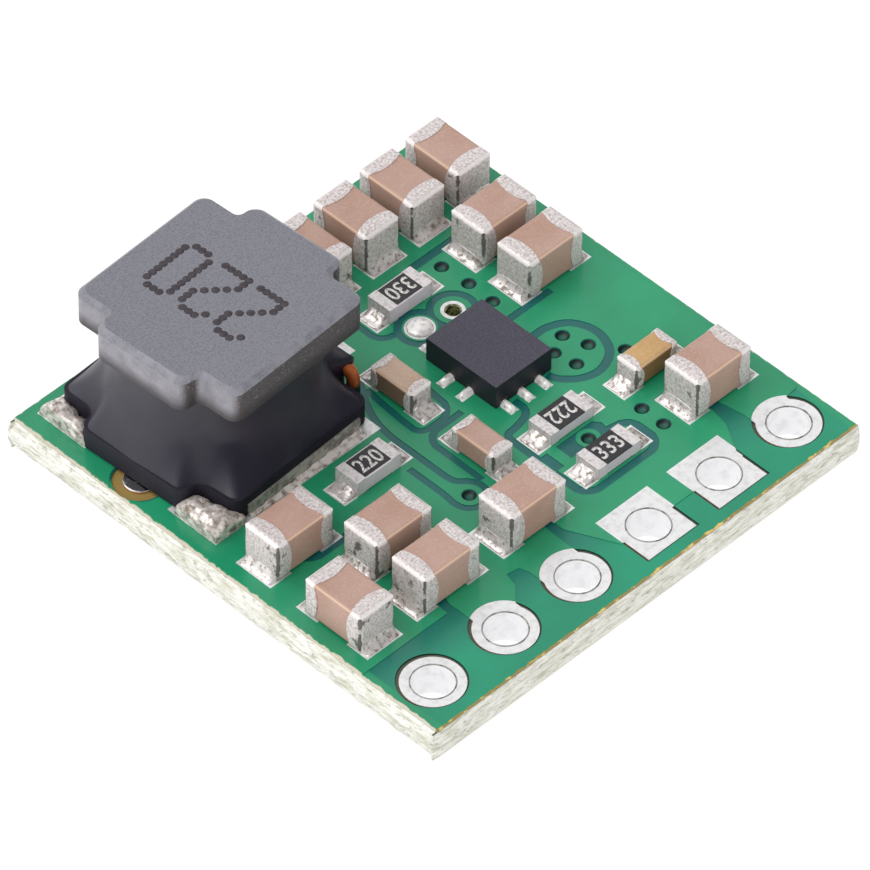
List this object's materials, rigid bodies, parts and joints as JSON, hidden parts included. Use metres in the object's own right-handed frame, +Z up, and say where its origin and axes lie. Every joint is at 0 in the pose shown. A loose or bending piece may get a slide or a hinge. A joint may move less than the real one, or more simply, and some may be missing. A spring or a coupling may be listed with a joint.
{
  "type": "boost converter module",
  "caption": "Small square voltage boost circuit board with a row of plated header holes, a drum-core inductor, a controller chip, ceramic capacitors and resistors.",
  "frame": {"origin": "centre of the board's underside", "axes": "+Z up from the underside to the component side, +X along the row of header holes, +Y from the hole row to the inductor's edge"},
  "size_m": [0.0152, 0.0152, 0.0054],
  "materials": {
    "laminate": "woven glass and epoxy, rough where snapped",
    "solder_mask": "green lacquer",
    "copper": "etched copper foil and plating",
    "tin": "levelled tin",
    "solder": "bright solder",
    "ferrite": "ground ferrite",
    "resin": "filled dark resin",
    "enamelled_wire": "lacquered copper wire",
    "terminal_plate": "plated metal",
    "moulded_epoxy": "moulded, fine grain",
    "capacitor_brown": "fired, matte",
    "capacitor_tan": "fired, matte",
    "end_plating": "grainy tin plating",
    "alumina": "white, matte",
    "glass_overcoat": "black, satin"
  },
  "bodies": {
    "root": {"pcb_laminate": "laminate", "copper_pours": "copper", "tinned_lands": "tin", "solder_mask_top": "solder_mask", "solder_mask_bottom": "solder_mask", "bore_plating": "tin", "via_barrels": "copper", "inductor_core": "ferrite", "inductor_winding": "enamelled_wire", "inductor_coat": "resin", "inductor_terminals": "terminal_plate", "inductor_wire_tails": "enamelled_wire", "inductor_solder": "solder", "chip_body": "moulded_epoxy", "chip_leadframe": "terminal_plate", "chip_solder": "solder", "component_solder": "solder", "large_capacitor_1_ceramic": "capacitor_brown", "large_capacitor_1_ends": "end_plating", "large_capacitor_2_ceramic": "capacitor_brown", "large_capacitor_2_ends": "end_plating", "large_capacitor_3_ceramic": "capacitor_brown", "large_capacitor_3_ends": "end_plating", "large_capacitor_4_ceramic": "capacitor_brown", "large_capacitor_4_ends": "end_plating", "large_capacitor_5_ceramic": "capacitor_brown", "large_capacitor_5_ends": "end_plating", "large_capacitor_6_ceramic": "capacitor_brown", "large_capacitor_6_ends": "end_plating", "large_capacitor_7_ceramic": "capacitor_brown", "large_capacitor_7_ends": "end_plating", "large_capacitor_8_ceramic": "capacitor_brown", "large_capacitor_8_ends": "end_plating", "large_capacitor_9_ceramic": "capacitor_brown", "large_capacitor_9_ends": "end_plating", "large_capacitor_10_ceramic": "capacitor_brown", "large_capacitor_10_ends": "end_plating", "large_capacitor_11_ceramic": "capacitor_brown", "large_capacitor_11_ends": "end_plating", "large_capacitor_12_ceramic": "capacitor_brown", "large_capacitor_12_ends": "end_plating", "small_capacitor_1_ceramic": "capacitor_tan", "small_capacitor_1_ends": "end_plating", "small_capacitor_2_ceramic": "capacitor_brown", "small_capacitor_2_ends": "end_plating", "small_capacitor_3_ceramic": "capacitor_tan", "small_capacitor_3_ends": "end_plating", "resistor_1_ceramic": "alumina", "resistor_1_overcoat": "glass_overcoat", "resistor_1_ends": "end_plating", "resistor_2_ceramic": "alumina", "resistor_2_overcoat": "glass_overcoat", "resistor_2_ends": "end_plating", "resistor_3_ceramic": "alumina", "resistor_3_overcoat": "glass_overcoat", "resistor_3_ends": "end_plating", "resistor_4_ceramic": "alumina", "resistor_4_overcoat": "glass_overcoat", "resistor_4_ends": "end_plating"}
  },
  "joints": []
}
